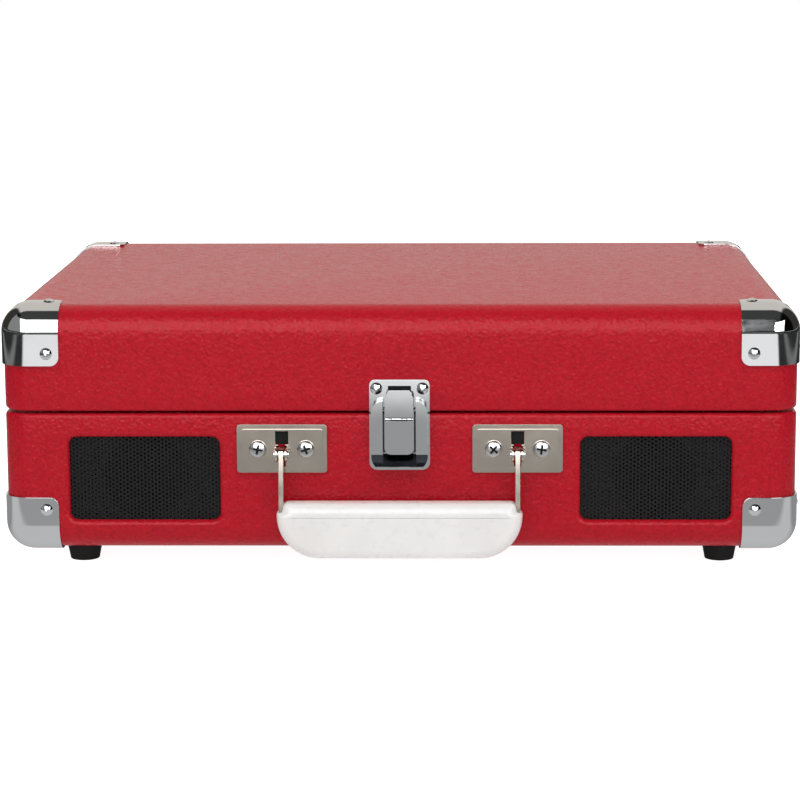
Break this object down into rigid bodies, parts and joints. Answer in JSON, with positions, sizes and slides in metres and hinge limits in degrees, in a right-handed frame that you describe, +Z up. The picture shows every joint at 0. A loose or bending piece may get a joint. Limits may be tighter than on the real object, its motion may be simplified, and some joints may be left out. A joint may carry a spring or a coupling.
{
  "type": "suitcase record player",
  "caption": "Portable record player built as a small hinged suitcase, with covered shell, metal corners, carry handle, draw latch, front speakers, platter and tonearm.",
  "frame": {"origin": "floor point under the middle of the whole part's bounding box, handle and rear sockets included", "axes": "+X right and -Y towards the user, who faces the handle; +Z up"},
  "size_m": [0.3576, 0.2785, 0.1196],
  "materials": {
    "red_leatherette": "fine pebble grain, satin",
    "deck_vinyl": "matt grain",
    "pine_wood": "raw",
    "zinc_steel": "bright zinc",
    "chrome_steel": "polished",
    "nickel_steel": "nickel plate, satin",
    "white_plastic": "satin gloss",
    "black_rubber": "matt",
    "black_mesh": "black, perforated look",
    "black_basket": "matt",
    "cone_paper": "matt",
    "board_green": "solder mask",
    "brass_gold": "bright",
    "black_plastic": "fine spark texture",
    "red_plastic": "gloss",
    "mat_felt": "felt",
    "arm_aluminium": "satin",
    "grey_plastic": "satin"
  },
  "bodies": {
    "case": {"base_box": "red_leatherette", "deck_plate": "deck_vinyl", "deck_cleats": "pine_wood", "case_screws": "zinc_steel", "spindle": "zinc_steel", "motor": "zinc_steel", "motor_mounts": "black_rubber", "speaker_left": "black_basket", "speaker_right": "black_basket", "cone_left": "cone_paper", "cone_right": "cone_paper", "grille_left": "black_mesh", "grille_right": "black_mesh", "feet": "black_rubber", "base_corner_fl": "chrome_steel", "base_corner_fr": "chrome_steel", "base_corner_bl": "chrome_steel", "base_corner_br": "chrome_steel", "base_rivets": "chrome_steel", "handle_plate_left": "nickel_steel", "handle_plate_right": "nickel_steel", "handle_screws": "zinc_steel", "handle_pins": "zinc_steel", "latch_base": "chrome_steel", "hinge_base_leaves": "nickel_steel", "hinge_pins": "zinc_steel", "main_board": "board_green", "rca_jacks": "brass_gold", "dc_jack": "black_plastic", "headphone_jack": "chrome_steel", "tonearm_base": "black_plastic", "tonearm_rest": "black_plastic", "led_lens": "red_plastic", "drive_belt": "black_rubber"},
    "platter_assy": {"platter": "black_plastic", "platter_mat": "mat_felt"},
    "pulley": {"motor_pulley": "brass_gold"},
    "arm_yoke": {"tonearm_yoke": "black_plastic"},
    "tonearm": {"tonearm_tube": "arm_aluminium", "cartridge": "black_plastic", "stylus": "red_plastic"},
    "clip": {"rest_clip": "black_plastic"},
    "cue_lever": {"cue_lever": "black_plastic"},
    "cue_platform": {"cue_platform": "black_plastic"},
    "knob": {"volume_knob": "black_plastic"},
    "speed_slider": {"speed_switch": "black_plastic"},
    "stop_slider": {"autostop_switch": "black_plastic"},
    "handle": {"handle_grip": "white_plastic", "handle_straps": "nickel_steel"},
    "latch_lever": {"latch_lever": "chrome_steel"},
    "latch_link": {"latch_link": "chrome_steel"},
    "adapter": {"adapter_45": "grey_plastic"},
    "lid": {"lid_shell": "red_leatherette", "lid_corner_fl": "chrome_steel", "lid_corner_fr": "chrome_steel", "lid_corner_bl": "chrome_steel", "lid_corner_br": "chrome_steel", "lid_rivets": "chrome_steel", "latch_keeper": "chrome_steel", "hinge_lid_leaves": "nickel_steel"}
  },
  "joints": [
    {"name": "lid_hinge", "type": "hinge", "parent": "case", "child": "lid", "pos_m": [0, 0.1347, 0.0703], "axis": [-1, 0, 0], "range_deg": [0, 100]},
    {"name": "handle_swing", "type": "hinge", "parent": "case", "child": "handle", "pos_m": [0, -0.13, 0.0526], "axis": [1, 0, 0], "range_deg": [-145, 0]},
    {"name": "latch_turn", "type": "hinge", "parent": "case", "child": "latch_lever", "pos_m": [0, -0.1282, 0.0718], "axis": [-1, 0, 0], "range_deg": [0, 90]},
    {"name": "link_turn", "type": "hinge", "parent": "latch_lever", "child": "latch_link", "pos_m": [0, -0.1314, 0.0686], "axis": [-1, 0, 0], "range_deg": [-91, 1]},
    {"name": "platter_spin", "type": "hinge", "parent": "case", "child": "platter_assy", "pos_m": [-0.042, 0.0035, 0.071], "axis": [0, 0, -1], "continuous": true},
    {"name": "pulley_spin", "type": "hinge", "parent": "case", "child": "pulley", "pos_m": [-0.10482, 0.05621, 0.068], "axis": [0, 0, -1], "continuous": true},
    {"name": "arm_swing", "type": "hinge", "parent": "case", "child": "arm_yoke", "pos_m": [0.122, 0.0915, 0.076], "axis": [0, 0, -1], "range_deg": [0, 46]},
    {"name": "arm_tilt", "type": "hinge", "parent": "arm_yoke", "child": "tonearm", "pos_m": [0.122, 0.0915, 0.086], "axis": [-1, 0, 0], "range_deg": [0, 3.46]},
    {"name": "clip_turn", "type": "hinge", "parent": "case", "child": "clip", "pos_m": [0.1285, -0.0535, 0.0902], "axis": [0, -1, 0], "range_deg": [0, 75]},
    {"name": "cue_turn", "type": "hinge", "parent": "case", "child": "cue_lever", "pos_m": [0.1465, 0.0955, 0.069], "axis": [-1, 0, 0], "range_deg": [0, 60]},
    {"name": "cue_lift", "type": "slide", "parent": "case", "child": "cue_platform", "axis": [0, 0, 1], "range_m": [0, 0.0016]},
    {"name": "volume_turn", "type": "hinge", "parent": "case", "child": "knob", "pos_m": [0.15, -0.06, 0.071], "axis": [0, 0, -1], "range_deg": [0, 270]},
    {"name": "speed_slide", "type": "slide", "parent": "case", "child": "speed_slider", "axis": [1, 0, 0], "range_m": [-0.004, 0.004]},
    {"name": "autostop_slide", "type": "slide", "parent": "case", "child": "stop_slider", "axis": [1, 0, 0], "range_m": [0, 0.005]},
    {"name": "adapter_lift", "type": "slide", "parent": "case", "child": "adapter", "axis": [0, 0, 1], "range_m": [0, 0.015]}
  ],
  "couplings": [
    {"joint": "link_turn", "follows": "latch_turn", "ratio": -1},
    {"joint": "pulley_spin", "follows": "platter_spin", "ratio": 12.4},
    {"joint": "cue_lift", "follows": "arm_tilt", "m_per_rad": 0.026527},
    {"joint": "cue_turn", "follows": "arm_tilt", "ratio": 17.362}
  ]
}
